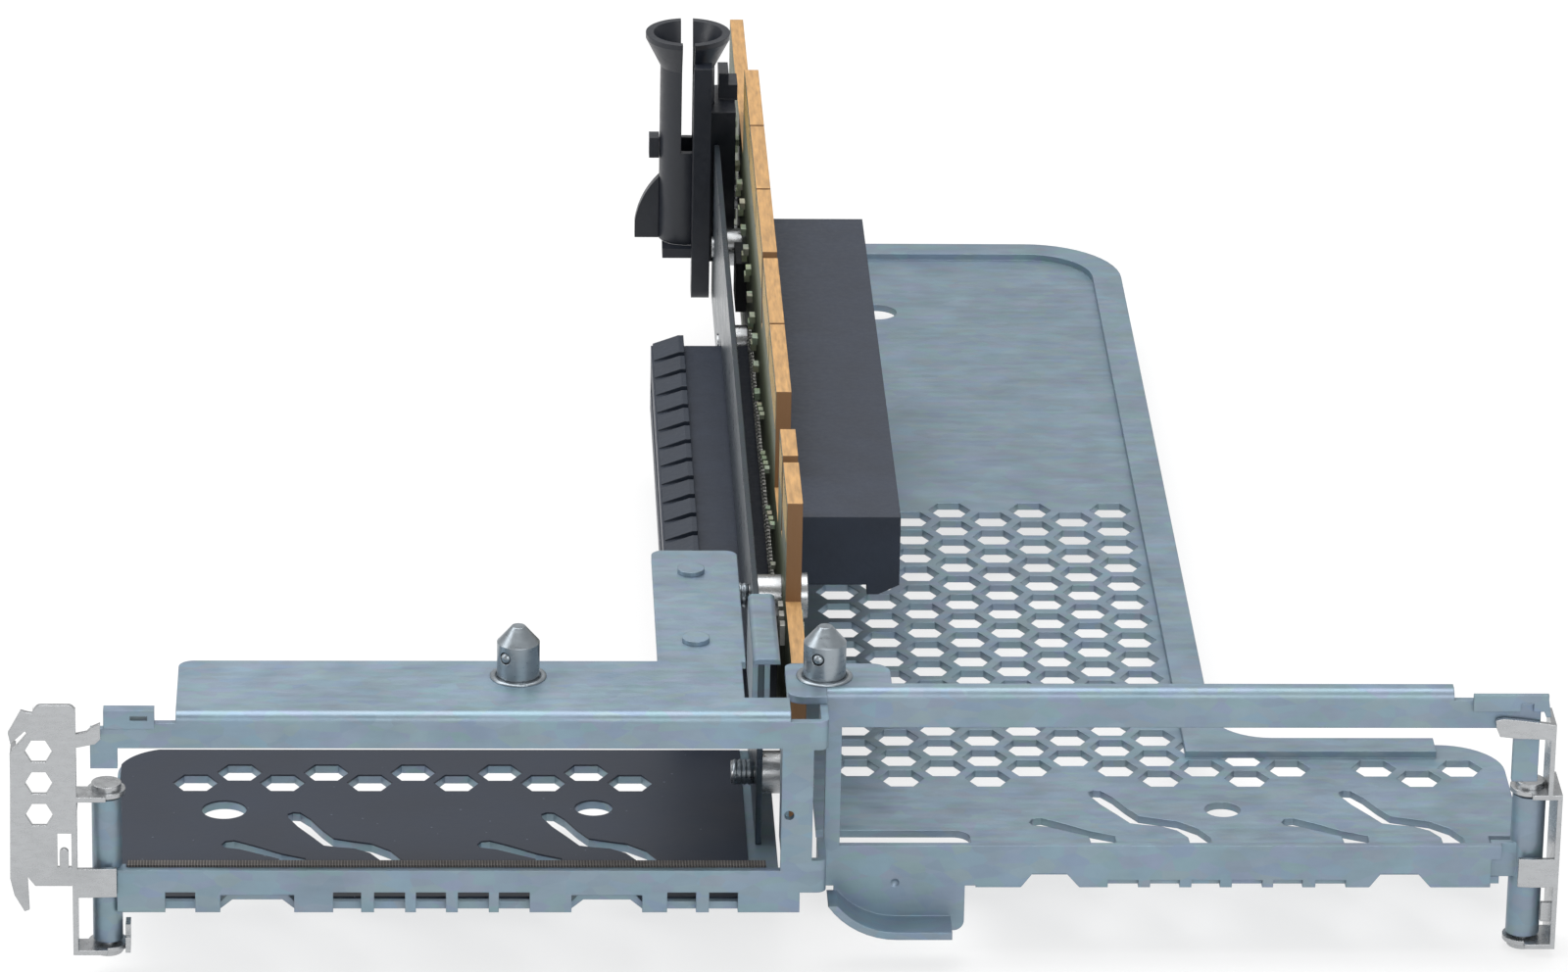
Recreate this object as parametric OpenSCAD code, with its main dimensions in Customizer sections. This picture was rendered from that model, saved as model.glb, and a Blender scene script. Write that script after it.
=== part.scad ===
// Double riser cage for two low-profile expansion cards: two sheet-metal frames,
// a carrier wall with a riser board, two card slots, two locating pins and two end latches.
// Origin: underside of the perforated plate, on a web between two openings near the front rail.
// X runs along the front, Y runs back from the front, Z runs up from the plate.

/* [Sheet metal] */
// Thickness of the zinc-plated sheet
sheet = 0.8; // [0.6:0.1:1.2]
// Inside radius of the upper sheet bends
bend_r = 0.2; // [0.1:0.1:1]
// Outside radius of the coined folds under the rails
fold_r = 0.3; // [0.1:0.1:0.6]
// Height of both frames over the underside of the base
frame_h = 21.8; // [20:0.1:24]
// Front plane of the left frame
left_front = -10.5; // [-14:0.1:-8]
// Front plane of the right frame
right_front = -4.5; // [-7:0.1:-3]

/* [Card windows] */
// Left window, left edge
left_win_x0 = -89; // [-90:0.1:-86]
// Left window, right edge
left_win_x1 = -22.8; // [-25:0.1:-21]
// Right window, left edge
right_win_x0 = -16.6; // [-18:0.1:-15]
// Right window, right edge
right_win_x1 = 50.5; // [48:0.1:52]
// Height of the lower rail
low_rail_h = 4.7; // [4:0.1:6]
// Height of the upper rail
top_rail_h = 3.7; // [3:0.1:4.5]
// Right side of the post between the windows
post_x = -18.15; // [-19:0.05:-17.5]
// Depth that the rail notches reach back from the front face
notch_d = 1.15; // [0.9:0.05:1.5]
// Height of the notches in the left rail
left_notch_h = 2.3; // [1.5:0.1:3]
// Height of the notches in the right rail
right_notch_h = 0.9; // [0.6:0.1:1.5]
// Rise of the stamped arches behind the rails
arch_h = 1; // [0.5:0.1:1.5]
// Depth of the stamped arches
arch_d = 3; // [2:0.1:4]

/* [Perforation] */
// Pitch of the honeycomb
hex_pitch = 5.2; // [5:0.1:6]
// Width of one hexagon across its flats
hex_flat = 4.1; // [3.5:0.1:4.6]
// Last full row of the honeycomb field
hex_last_row = 11; // [8:1:12]

/* [Hook] */
// Left end of the hook plate
hook_x0 = -17.1; // [-18:0.1:-16]
// Right end of the hook plate
hook_x1 = -3.8; // [-5:0.1:-3]
// Middle of the curled lip's arc across the front
hook_cx = -10.8; // [-12:0.1:-9]
// Middle of the curled lip's arc above the base
hook_cz = 4.6; // [3:0.1:6]
// Outside radius of the curled lip
hook_r = 8.5; // [7:0.1:9]
// Reach of the lip in front of the rail
hook_d = 4; // [3:0.1:5]

/* [Base plates] */
// Back edge of the left base
left_back = 27.8; // [25:0.1:30]
// Back edge of the right base
right_back = 175.4; // [170:0.1:180]
// Right edge of the long part of the right base
rim_x = 24.4; // [22:0.1:26]
// Width of the raised rim
rim_w = 3.4; // [2.5:0.1:4.5]
// Height of the folded hem's top
rim_h = 0.8; // [0.4:0.1:1.2]
// Left end of the first pair of relief slots
relief_x = 3.6; // [3:0.1:5]
// Distance between the relief pairs
relief_pitch = 26; // [24:0.1:27]
// Shift of the same slots in the left base
relief_dx = 82.7; // [80:0.1:84]
// Foot of the relief slots behind the front face
slot_foot = 5.2; // [4:0.1:7]

/* [Riser board] */
// Thickness of the board
board_t = 1.6; // [1.2:0.1:2.4]
// Right face of the board
board_x = -19.85; // [-21:0.05:-19]
// Front end of the board
board_y0 = 3.4; // [3:0.1:6]
// Back end of the board
board_y1 = 200.4; // [190:0.1:205]
// Height of the board's shoulder
board_z1 = 21.3; // [20:0.1:22]
// Height of the contact edge
finger_z = 32.2; // [30:0.1:33]

/* [Card slots] */
// Length of a slot housing
slot_len = 88.9; // [88:0.1:92]
// Depth of a slot housing from board to mouth
slot_depth = 11.25; // [10:0.05:12]
// Width of a slot housing
slot_w = 7.7; // [7.5:0.1:9]
// Near end of the right slot
slot_r_y = 39.5; // [36:0.1:42]
// Middle height of the right slot
slot_r_z = 18.55; // [18:0.05:19]
// Near end of the left slot
slot_l_y = 35.6; // [33:0.1:40]
// Middle height of the left slot
slot_l_z = 4.45; // [4:0.05:5]

/* [Pins and hinges] */
// Radius of a locating pin
pin_r = 2.15; // [2:0.05:2.4]
// Height of a locating pin over its flange
pin_h = 5.5; // [5:0.1:6]
// Radius of the hinge pins
hinge_r = 0.9; // [0.7:0.05:1.1]
// Radial play of the hinge pins in their barrels
hinge_play = 0.05; // [0.02:0.01:0.1]
// Height of the detent ball over the flange
ball_z = 2.6; // [2:0.1:3]
// Outer radius of the left hinge barrel
barrel_l_r = 1.5; // [1.4:0.05:2]
// Outer radius of the right hinge barrel
barrel_r_r = 1.7; // [1.6:0.05:2.2]
// Gap between a barrel and the latch in front of it
latch_gap = 0.5; // [0.3:0.05:0.7]
// End play of a barrel between the ears of its latch
ear_gap = 0.35; // [0.3:0.05:0.6]
// Thickness of the stainless latches
latch_t = 0.5; // [0.4:0.05:0.8]

/* [Guide] */
// Radius of the guide's funnel
funnel_r = 4.95; // [4.5:0.05:6]
// Outer radius of the guide's tube
tube_r = 3.2; // [2.9:0.1:4.5]
// Bore radius of the guide's tube
tube_bore = 2.4; // [2:0.1:2.6]
// Top of the funnel
funnel_z = 33.5; // [30:0.1:36]

/* [Hidden] */
$fn = 48;
e = 0.01;
bo = bend_r + sheet;
hex_dx = hex_pitch * sqrt(3) / 2;
hex_r = hex_flat / sqrt(3);
row0_y = 18 * hex_pitch;
board_xl = board_x - board_t;
top_rail_z = frame_h - top_rail_h;
wall_t = 0.6;
wall_x1 = -24.15;
wall_x0 = wall_x1 - wall_t;
wall_top = frame_h;
pin_l = [-49.1, -0.9];
pin_rr = [-18.3, -0.8];
hinge_l = [-90.2, left_front + 1.7];
hinge_rr = [53.35, right_front + 2];
barrel_l_z = [-3.4, 12.2];
barrel_r_z = [-5.6, 9.8];
funnel_at = [-27.8, 161];
steel = [0.60, 0.67, 0.72];
stainless = [0.66, 0.66, 0.67];
black = [0.11, 0.12, 0.14];
gold = [0.83, 0.68, 0.35];
tin = [0.78, 0.79, 0.80];

// Plates: xy lies flat, xz stands across the front, yz stands along the depth.
module plate_xy(z, t = sheet) {
  translate([0, 0, z])
    linear_extrude(t)
      children();
}

module plate_xz(y, t = sheet) {
  translate([0, y + t, 0])
    rotate([90, 0, 0])
      linear_extrude(t)
        children();
}

module plate_yz(x, t = sheet) {
  translate([x, 0, 0])
    rotate([90, 0, 90])
      linear_extrude(t)
        children();
}

module rect(a, b) {
  translate(a)
    square(b - a);
}

// Rectangle with one radius on all corners.
module round_rect(a, b, r) {
  rect([a[0] + r, a[1]], [b[0] - r, b[1]]);
  rect([a[0], a[1] + r], [b[0], b[1] - r]);
  for (x = [a[0] + r, b[0] - r])
    for (y = [a[1] + r, b[1] - r])
      translate([x, y])
        circle(r);
}

// Square corner piece that a rounded outside corner takes away.
module corner_cut(p, r, a) {
  translate(p)
    rotate(a)
      difference() {
        translate([-e, -e])
          square(r + e);
        translate([r, r])
          circle(r);
      }
}

// Quarter ring between two sheets, running along X.
module bend_x(x0, x1, y, z, a) {
  translate([x0, y, z])
    rotate([90, 0, 90])
      linear_extrude(x1 - x0)
        rotate(a)
          intersection() {
            difference() {
              circle(bo);
              circle(bend_r);
            }
            square(bo + 1);
          }
}

// Coined fold under a rail: a square corner with a small outside radius.
module fold_x(x0, x1, y) {
  translate([x0, y, 0])
    rotate([90, 0, 90])
      linear_extrude(x1 - x0)
        difference() {
          square([sheet + e, sheet + e]);
          corner_cut([0, 0], fold_r, 0);
        }
}

// Stamped arch of the base, open to the front and below.
module arch(b, y) {
  plate_xz(y, arch_d)
    polygon([
      [b[0], 0], [b[0] + 1.2, arch_h], [b[1] - 1.2, arch_h], [b[1], 0],
      [b[1], sheet], [b[1] - 0.9, arch_h + sheet], [b[0] + 0.9, arch_h + sheet], [b[0], sheet]]);
}

// Quarter ring between two sheets, standing along Z.
module bend_z(z0, z1, x, y, a, ro = bo, ri = bend_r) {
  translate([x, y, z0])
    linear_extrude(z1 - z0)
      rotate(a)
        intersection() {
          difference() {
            circle(ro);
            circle(ri);
          }
          square(ro + 1);
        }
}

module box(a, b) {
  translate(a)
    cube(b - a);
}

module hex_hole(p) {
  translate(p)
    circle(hex_r, $fn = 6);
}

function hex_at(c, r) = [c * hex_dx, row0_y - r * hex_pitch];

// The two relief slots of one spring tongue; p[1] is the front face.
module relief_pair(p) {
  translate(p) {
    polygon([[0, 14.3], [0.4, 15.2], [1.3, 15.4], [3.4, 14.1], [6.1, 12.2], [8.6, 11],
      [8.6, slot_foot], [6.4, slot_foot], [5.9, 10.9], [4.1, 11.9], [1.9, 13.2], [0.3, 13.6]]);
    polygon([[6.6, 21.8], [7.2, 22.3], [7.9, 22.2], [9, 20.6], [10.2, 18], [11.4, 15.9],
      [13.1, 15.3], [15.3, 14.6], [17.2, 12.9], [18.4, 10.6], [18.6, slot_foot],
      [16.4, slot_foot], [16.1, 10.6], [15.1, 12.3], [13.5, 13.4], [11.8, 13.7],
      [10.4, 14.1], [9.2, 16.2], [7.7, 18.7], [6.7, 20.9]]);
  }
}

module left_base_2d() {
  difference() {
    rect([-90.2, left_front + sheet], [-22.6, left_back]);
    rect([-91, left_front], [-89.2, -2]);
    corner_cut([-90.2, left_back], 6, -90);
    corner_cut([-22.6, left_back], 1, 180);
    for (i = [0:10])
      translate([-82.1 + i * 4.49, 19.1 + (i % 2) * hex_pitch / 2])
        circle(hex_r, $fn = 6);
    translate([-79, 12.4])
      circle(2.3);
    translate([-41.1, 12.9])
      circle(1.95);
    relief_pair([relief_x - relief_dx, left_front]);
    relief_pair([relief_x + relief_pitch - relief_dx, left_front]);
    for (b = left_bumps)
      rect([b[0], left_front], [b[1], left_front + notch_d + arch_d - e]);
  }
}

left_notches = [[-84.4, -81.4], [-67.6, -64.8], [-63.5, -60.4], [-59.3, -56.3], [-55.1, -52],
  [-51, -47.9], [-34.1, -31.2], [-29.9, -27]];
left_bumps = [[-78.9, -71.5], [-43.7, -36.6]];

module left_frame() {
  yf = left_front;
  zt = frame_h - sheet;
  xp = post_x - bo;
  color(steel) {
    difference() {
      union() {
        plate_xy(0)
          left_base_2d();
        fold_x(-89.2, -20.8, yf);
        plate_xz(yf)
          difference() {
            union() {
              rect([-89.2, sheet], [-20.8, low_rail_h]);
              rect([left_win_x1, left_notch_h], [xp, frame_h - sheet]);
              rect([-89.2, top_rail_z], [-22, frame_h - bo]);
              rect([-91.7, top_rail_z - 2.2], [left_win_x0, frame_h - 1.6]);
            }
            translate([-22, 10.8])
              circle(0.5);
          }
        bend_x(-83.2, -22, yf + bo, frame_h - bo, 90);
        // Upper flange with the arm that reaches back along the carrier wall.
        plate_xy(zt)
          difference() {
            union() {
              rect([-83.2, yf + bo], [-26.5, 2.9]);
              rect([-35, 2.8], [-26.1, 31.8]);
              rect([-26.6, yf + bo], [-22, -6.2]);
            }
            corner_cut([-83.2, 2.9], 1.5, -90);
            corner_cut([-35, 31.8], 1.3, -90);
            corner_cut([-26.1, 31.8], 1.3, 180);
            translate(pin_l)
              circle(pin_r - 0.6);
          }
        // Return flange between the two frames.
        bend_z(left_notch_h, frame_h - sheet, xp, yf + bo, -90);
        box([post_x - sheet, yf + bo - e, 3.3], [post_x, right_front - 0.3, frame_h - sheet]);
        // Inner flange at the right side of the window.
        box([left_win_x1, yf + sheet - e, 6.6], [left_win_x1 + sheet, yf + 4.4, top_rail_z]);
        // Lug at the left end of the upper rail.
        box([-90.35, yf - 0.5, frame_h - 1.4], [-85.3, yf + sheet, frame_h + 0.6]);
        for (b = left_bumps)
          arch(b, yf + notch_d);
      }
      for (n = left_notches)
        box([n[0], yf - 1, -1], [n[1], yf + notch_d, left_notch_h]);
      for (b = left_bumps)
        box([b[0], yf - 1, -1], [b[1], yf + notch_d, left_notch_h - 0.3]);
      // Open slot through the post.
      box([-19.65, yf - 1, low_rail_h + 1.1], [-17, right_front, top_rail_z - 0.15]);
      box([-87.7, yf - 1, frame_h - 0.5], [-86, yf + sheet + e, frame_h]);
      translate([hinge_l[0], hinge_l[1], -20])
        cylinder(h = 33, r = barrel_l_r + 0.02);
    }
  }
}

module insulator_film() {
  color([0.17, 0.22, 0.28])
    plate_xy(sheet, 0.2)
      difference() {
        intersection() {
          left_base_2d();
          rect([-89.9, left_front + bo + 0.9], [-25.6, left_back - 0.3]);
        }
        for (b = left_bumps)
          rect([b[0] - 0.2, left_front], [b[1] + 0.2, left_front + notch_d + arch_d + 0.2]);
        translate(hinge_l)
          circle(barrel_l_r + 0.3);
      }
}

module emi_gasket() {
  color([0.42, 0.42, 0.42])
    box([-88.2, left_front + sheet, low_rail_h - 2.1],
      [-24.2, left_front + sheet + 1.2, low_rail_h + 0.25]);
}

// Outline of the right base: long strip, inner corner and front strip.
module right_base_2d() {
  difference() {
    union() {
      rect([-18.4, right_front + sheet], [rim_x, right_back]);
      rect([rim_x - 1, right_front + sheet], [54.2, 29.4]);
      difference() {
        rect([rim_x - e, 29.4 - e], [rim_x + 6, 35.4]);
        translate([rim_x + 6, 35.4])
          circle(6);
      }
    }
    corner_cut([rim_x, right_back], 11, 180);
    corner_cut([54.2, 29.4], 6.5, 180);
    rect([50.6, -9], [60, 6.5]);
    // Cut-out of the hook, with one rounded corner.
    difference() {
      rect([-19, right_front], [hook_x1 + 1.1, 7.8]);
      corner_cut([hook_x1 + 1.1, 7.8], 1.7, 180);
    }
    for (b = right_bumps)
      rect([b[0], right_front], [b[1], right_front + notch_d + arch_d - e]);
  }
}

module right_holes_2d() {
  for (c = [-3:4])
    for (r = [0:hex_last_row])
      hex_hole(hex_at(c, r + abs(c % 2) / 2));
  for (c = [-2, 0, 2, 4])
    hex_hole(hex_at(c, 12));
  for (c = [-3, -1, 1, 3, 5])
    hex_hole(hex_at(c, 12.5));
  for (c = [-2, 0, 2, 4, 6])
    hex_hole(hex_at(c, 13));
  for (c = [-3:2:11])
    hex_hole(hex_at(c, 13.5));
  for (c = [-2, 0, 4, 6, 10])
    hex_hole(hex_at(c, 14));
  translate([23.8, 13])
    circle(1.85);
  translate([-5.3, 154.7])
    circle(2.4);
  relief_pair([relief_x, right_front]);
  relief_pair([relief_x + relief_pitch, right_front]);
}

// Strip that follows the outer edge, used for the joggled rim.
module rim_2d(w) {
  difference() {
    rect([-8, 26], [rim_x, right_back]);
    corner_cut([rim_x, right_back], 11, 180);
    difference() {
      rect([-9, 0], [rim_x - w, right_back - w]);
      corner_cut([rim_x - w, right_back - w], 11 - w, 180);
    }
  }
  difference() {
    rect([rim_x - w, 29.4 - w], [47.3, 29.4 + 6]);
    translate([rim_x + 6, 35.4])
      circle(6);
    rect([rim_x + 6, 29.4], [60, 40]);
    rect([rim_x - w - e, 35.4], [60, 40]);
  }
}

right_notches = [[10.7, 13.8], [15, 18], [19.2, 22.1], [23.3, 26.4], [27.5, 30.5], [31.8, 34.9]];
right_bumps = [[1.8, 7.9], [37.2, 43.6]];

module right_frame() {
  yf = right_front;
  zt = frame_h - sheet;
  color(steel) {
    difference() {
      union() {
        plate_xy(0)
          difference() {
            right_base_2d();
            right_holes_2d();
          }
        plate_xy(rim_h)
          rim_2d(rim_w);
        fold_x(hook_x1 + 1.1, 50.6, yf);
        plate_xz(yf) {
          rect([-18.2, sheet], [50.6, low_rail_h]);
          rect([-18.2, 0.3], [hook_x1 + 1.2, low_rail_h]);
          rect([-18.2, 0.3], [right_win_x0, frame_h - bo]);
          rect([-18.2, top_rail_z - 0.3], [50.8, frame_h - bo]);
        }
        bend_x(-18.2, 45, yf + bo, frame_h - bo, 90);
        plate_xy(zt)
          difference() {
            union() {
              rect([-18.2, yf + bo], [45, -2.6]);
              rect([-22.2, -6], [-11.6, 2.4]);
            }
            corner_cut([-22.2, 2.4], 1, -90);
            corner_cut([-22.2, -6], 1.6, 0);
            corner_cut([-11.6, 2.4], 2, 180);
            rect([-18.2, -9], [0, yf + bo - e]);
            translate(pin_rr)
              circle(pin_r - 0.6);
          }
        // Post stub over the right hinge barrel.
        plate_xz(yf)
          union() {
            rect([50.8 - e, top_rail_z], [53.8, frame_h - bo - 0.4]);
            rect([51.2, top_rail_z - 6.2], [53.8, frame_h - bo - 0.4]);
          }
        // Lug at the right end of the upper rail.
        plate_xz(yf - 0.5, 0.5 + e)
          difference() {
            union() {
              rect([46.9, frame_h - 2], [54.5, frame_h - 0.2]);
              polygon([[53.6, frame_h - 0.9], [54.3, frame_h - 2.6], [54.8, frame_h - 2.6],
                [54.5, frame_h - 0.7]]);
            }
            rect([51.7, frame_h - 3], [53, frame_h - 1.1]);
          }
        for (b = right_bumps)
          arch(b, yf + notch_d);
        // Hook that hangs under the left end of the lower rail.
        hook();
      }
      for (n = right_notches)
        box([n[0], yf - 1, -1], [n[1], yf + notch_d, right_notch_h]);
      box([49.6, yf - 1, -1], [52, yf + bo + 0.2, 3.2]);
      for (b = right_bumps)
        plate_xz(yf - 1, 1 + notch_d)
          polygon([[b[0], -1], [b[0], 0], [b[0] + 1.2, 1.6], [b[1] - 1.4, 1.6], [b[1], 0], [b[1], -1]]);
      translate([-10.9, yf - 0.4, 0.6])
        sphere(0.6);
    }
  }
}

module hook() {
  yf = right_front;
  z0 = hook_cz - hook_r;
  // Plate in line with the rail.
  plate_xz(yf)
    difference() {
      union() {
        intersection() {
          rect([hook_x0, z0], [hook_cx + e, 0.3 + e]);
          translate([hook_cx, hook_cz])
            circle(hook_r);
        }
        rect([hook_cx, z0], [hook_x1, 0.3 + e]);
        rect([hook_x1 - 1.4, z0 - 0.8], [hook_x1, z0 + e]);
      }
      corner_cut([hook_x1, z0 - 0.8], 1.1, 90);
    }
  // Lip that runs forward along the lower edge and curls up at the left.
  plate_xz(yf - hook_d, hook_d + e)
    union() {
      rect([hook_cx - e, z0], [hook_x1 - 1.4, z0 + sheet]);
      intersection() {
        difference() {
          translate([hook_cx, hook_cz])
            circle(hook_r);
          translate([hook_cx, hook_cz])
            circle(hook_r - sheet);
        }
        rect([hook_cx - hook_r + 1, z0 - 1], [hook_cx, -0.2]);
      }
    }
}

module carrier_wall() {
  color(steel)
    plate_yz(wall_x0, wall_t)
      difference() {
        union() {
          rect([4.2, 0.9], [left_back, wall_top]);
          rect([left_back - e, 2.2], [157, wall_top]);
        }
        rect([slot_l_y - 0.6, 0], [slot_l_y + slot_len + 0.6, slot_l_z + slot_w / 2 + 0.8]);
        corner_cut([157, wall_top], 3, 180);
        for (p = board_holes)
          translate(p)
            circle(1.25);
      }
}

board_holes = [[9.7, 6.5], [30, 17.5], [slot_l_y + slot_len + 6.5, 6],
  [slot_l_y + slot_len + 27.5, 10]];

module wall_clip() {
  x0 = wall_x0 - 0.6;
  x1 = wall_x1 + 1.55;
  z1 = wall_top + 0.6;
  color(steel) {
    plate_xz(4.2, 14.7)
      difference() {
        union() {
          rect([x0, 14], [wall_x0 - 0.02, z1]);
          rect([x0, wall_top + 0.02], [x1, z1]);
          rect([wall_x1 + 0.02, 14], [wall_x1 + 0.6, z1]);
        }
        corner_cut([x0, z1], 0.5, -90);
        corner_cut([x1, z1], 0.5, 180);
      }
    plate_xz(2, 2.2 + e)
      difference() {
        rect([x0, wall_top + 0.02], [x1, z1]);
        corner_cut([x0, z1], 0.5, -90);
        corner_cut([x1, z1], 0.5, 180);
      }
  }
}

module board_2d() {
  difference() {
    union() {
      rect([board_y0, 1.6], [board_y1, board_z1]);
      rect([19.4, board_z1 - e], [40.6, finger_z]);
      rect([50.3, board_z1 - e], [152.8, finger_z]);
    }
    rect([30.6, finger_z - 8.4], [32.4, finger_z + 1]);
    rect([90, finger_z - 8.4], [91.9, finger_z + 1]);
    for (y = [70.2, 111.8, 132.6])
      rect([y - 0.2, finger_z - 0.5], [y + 0.2, finger_z + 1]);
    corner_cut([152.8, finger_z], 1.5, 180);
    corner_cut([40.6, finger_z], 1, 180);
    corner_cut([board_y0, board_z1], 1, -90);
    for (p = board_holes)
      translate(p)
        circle(1.6);
  }
}

module riser_board() {
  color([0.12, 0.22, 0.16])
    plate_yz(board_xl, board_t)
      board_2d();
}

finger_runs = [[20.2, 29.8], [33.2, 39.8], [51.2, 69.4], [71, 89.2], [92.8, 111], [112.6, 131.8],
  [133.4, 151.4]];

module edge_contacts() {
  color(gold)
    for (r = finger_runs)
      for (y = [r[0]:1:r[1] - 0.6])
        for (x = [board_xl - 0.04, board_x])
          box([x, y, finger_z - 4.6], [x + 0.04, y + 0.6, finger_z - 0.8]);
}

// A slot housing with its mouth at +X and its near end at y = 0.
module slot_body() {
  difference() {
    box([0, 0, -slot_w / 2], [slot_depth, slot_len, slot_w / 2]);
    box([3, 2.4, -0.95], [slot_depth + 1, slot_len - 2.4, 0.95]);
    for (y = [3.2:1:slot_len - 4])
      if (abs(y - 14.5) > 1.6)
        box([4, y, -2.2], [slot_depth - 1.4, y + 0.6, 2.2]);
  }
  box([3, 14, -1], [slot_depth - 0.6, 15.7, 1]);
}

module slot_contacts(sgn) {
  for (y = [3.2:1:slot_len - 4])
    if (abs(y - 14.5) > 1.6)
      for (s = [-1, 1])
        box([4.2, y + 0.1, s > 0 ? 0.98 : -1.3], [slot_depth - 2, y + 0.5, s > 0 ? 1.3 : -0.98]);
}

module slot_housing_right() {
  color(black)
    translate([board_x, slot_r_y, slot_r_z]) {
      slot_body();
      difference() {
        box([slot_depth - 3.4, 0, -slot_w / 2 - 1.1], [slot_depth, 1.8, -slot_w / 2 + e]);
        translate([slot_depth - 2.2, -1, -slot_w / 2 - 1.1])
          rotate([0, -26, 0])
            translate([0, 0, -4])
              cube([6, 4, 4]);
      }
    }
}

module slot_contacts_right() {
  color(gold)
    translate([board_x, slot_r_y, slot_r_z])
      slot_contacts(1);
}

module slot_housing_left() {
  color(black)
    translate([board_xl, slot_l_y + slot_len, slot_l_z])
      rotate([0, 0, 180])
        slot_body();
}

module slot_collar_left() {
  x0 = board_xl - slot_depth;
  color(black)
    difference() {
      translate([0, slot_l_y + slot_len, 0])
        rotate([90, 0, 0])
          linear_extrude(slot_len)
            polygon([
              [x0 + 0.2, slot_l_z + slot_w / 2],
              [x0 + 3.7, slot_l_z + slot_w / 2],
              [x0 + 3.7, slot_l_z + slot_w / 2 + 1.3],
              [x0 + 3.1, slot_l_z + slot_w / 2 + 1.3],
              [x0 + 0.2, slot_l_z + slot_w / 2 + 0.25]]);
      for (y = [slot_l_y + 3:5.3:slot_l_y + slot_len - 2])
        translate([x0 - 1, y, slot_l_z + slot_w / 2 - 0.1])
          rotate([0, -10, 0])
            cube([6, 1.2, 3]);
    }
}

module slot_contacts_left() {
  color(gold)
    translate([board_xl, slot_l_y + slot_len, slot_l_z])
      rotate([0, 0, 180])
        slot_contacts(1);
}

module contact_tails() {
  color(tin)
    for (y = [slot_l_y + 3:1:slot_l_y + slot_len - 3])
      for (z = [slot_l_z + 5.6, slot_l_z + 7.4])
        box([board_xl - 0.35, y, z], [board_xl, y + 0.5, z + 0.6]);
}

module chip_capacitors() {
  color([0.66, 0.60, 0.50]) {
    for (i = [0:23])
      let (y = 92 + i * 4.3, z = 14.6 + 4 * (((i * 7) % 5) / 5))
        box([board_xl - 0.6, y, z], [board_xl, y + 1.6, z + 0.8]);
    for (i = [0:11])
      let (y = 44 + i * 3.9, z = 14.5 + 4 * (((i * 3) % 4) / 4))
        box([board_xl - 0.5, y, z], [board_xl, y + 1, z + 0.5]);
    for (i = [0:3])
      box([board_x, 20 + i * 1.6, 14 + (i % 2) * 2.5],
        [board_x + 0.5, 21 + i * 1.6, 15.2 + (i % 2) * 2.5]);
  }
}

module power_chips() {
  color(black) {
    for (c = [[136, 7, 8], [184, 8, 7]])
      box([board_xl - 1.2, c[0], c[2]], [board_xl, c[0] + c[1], c[2] + 6]);
    for (c = [[172, 5, 6], [196, 3, 8]])
      box([board_xl - 1, c[0], c[2]], [board_xl, c[0] + c[1], c[2] + 5]);
  }
}

module resistor_bars() {
  color(tin)
    for (i = [0:2])
      box([board_xl - 0.5, 19.4 + i * 2.6, 16.4], [board_xl, 20.8 + i * 2.6, 18.6]);
}

module guide_funnel() {
  z1 = funnel_z;
  color(black)
    translate([funnel_at[0], funnel_at[1], 0])
      difference() {
        union() {
          translate([0, 0, 8])
            cylinder(h = z1 - 12, r = tube_r);
          translate([0, 0, z1 - 4 - e])
            cylinder(h = 3.4, r1 = tube_r, r2 = funnel_r);
          translate([0, 0, z1 - 0.6 - e])
            cylinder(h = 0.6 + e, r = funnel_r);
        }
        translate([0, 0, 8.8])
          cylinder(h = z1, r = tube_bore);
        translate([0, 0, z1 - 3.5])
          cylinder(h = 3.5 + e, r1 = tube_bore, r2 = funnel_r - 0.9);
        box([-0.7, -9, z1 - 14], [0.7, 9, z1 + 1]);
      }
}

module guide_wing() {
  x = funnel_at[0];
  y = funnel_at[1];
  color(black) {
    difference() {
      plate_xz(y - 0.6, 1.2)
        intersection() {
          translate([x, 8])
            circle(r = 10.1);
          rect([x - 6, 8], [x - 1, 18.2]);
          translate([x + 3.9, 8.6])
            circle(r = 10);
        }
      translate([x, y, 0])
        cylinder(h = 40, r = tube_r + 0.02);
    }
    box([x - 4.4, y - 0.6, 18], [x - tube_r - 0.02, y + 1.6, 20.5]);
  }
}

module guide_bracket() {
  color(black)
    difference() {
      guide_bracket_solid(funnel_at[0], funnel_at[1]);
      translate([funnel_at[0], funnel_at[1], -1])
        cylinder(h = funnel_z, r = tube_r + 0.02);
      translate([funnel_at[0], funnel_at[1], funnel_z - 4.1])
        cylinder(h = 5, r = funnel_r + 0.02);
    }
}

module guide_bracket_solid(x, y) {
  // Rib in front of the tube, rounded at its foot.
  difference() {
    box([x + 0.6, y - 6.6, 2.3], [x + 2.7, y - 1, funnel_z - 2.3]);
    box([x, y - 7, 0], [x + 3, y - 5.4, 3.4]);
  }
  translate([x + 0.6, y - 5.4, 3.5])
    rotate([0, 90, 0])
      cylinder(h = 2.1, r = 1.2);
  // Body beside the rib, clear of the end of the carrier wall.
  box([x + 2.6, y - 3.6, 6.1], [board_xl - 0.7, y + 6, 24.8]);
  box([x - 2.8, y - 4.6, 6.9], [x + 0.9, y - 1, 8]);
  // Stepped blocks behind the funnel.
  box([x + 3.7, y + 1, 24.7], [x + 4.9, y + 5, 28]);
  box([x + 4.8, y + 1, 24.7], [board_xl - 0.4, y + 5, 26.6]);
}

module guide_screws() {
  color(stainless)
    for (z = [7, 12])
      translate([board_xl - 0.7, funnel_at[1] + 2.4, z])
        rotate([0, 90, 0])
          cylinder(h = 0.6, r = 1.4);
}

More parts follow.
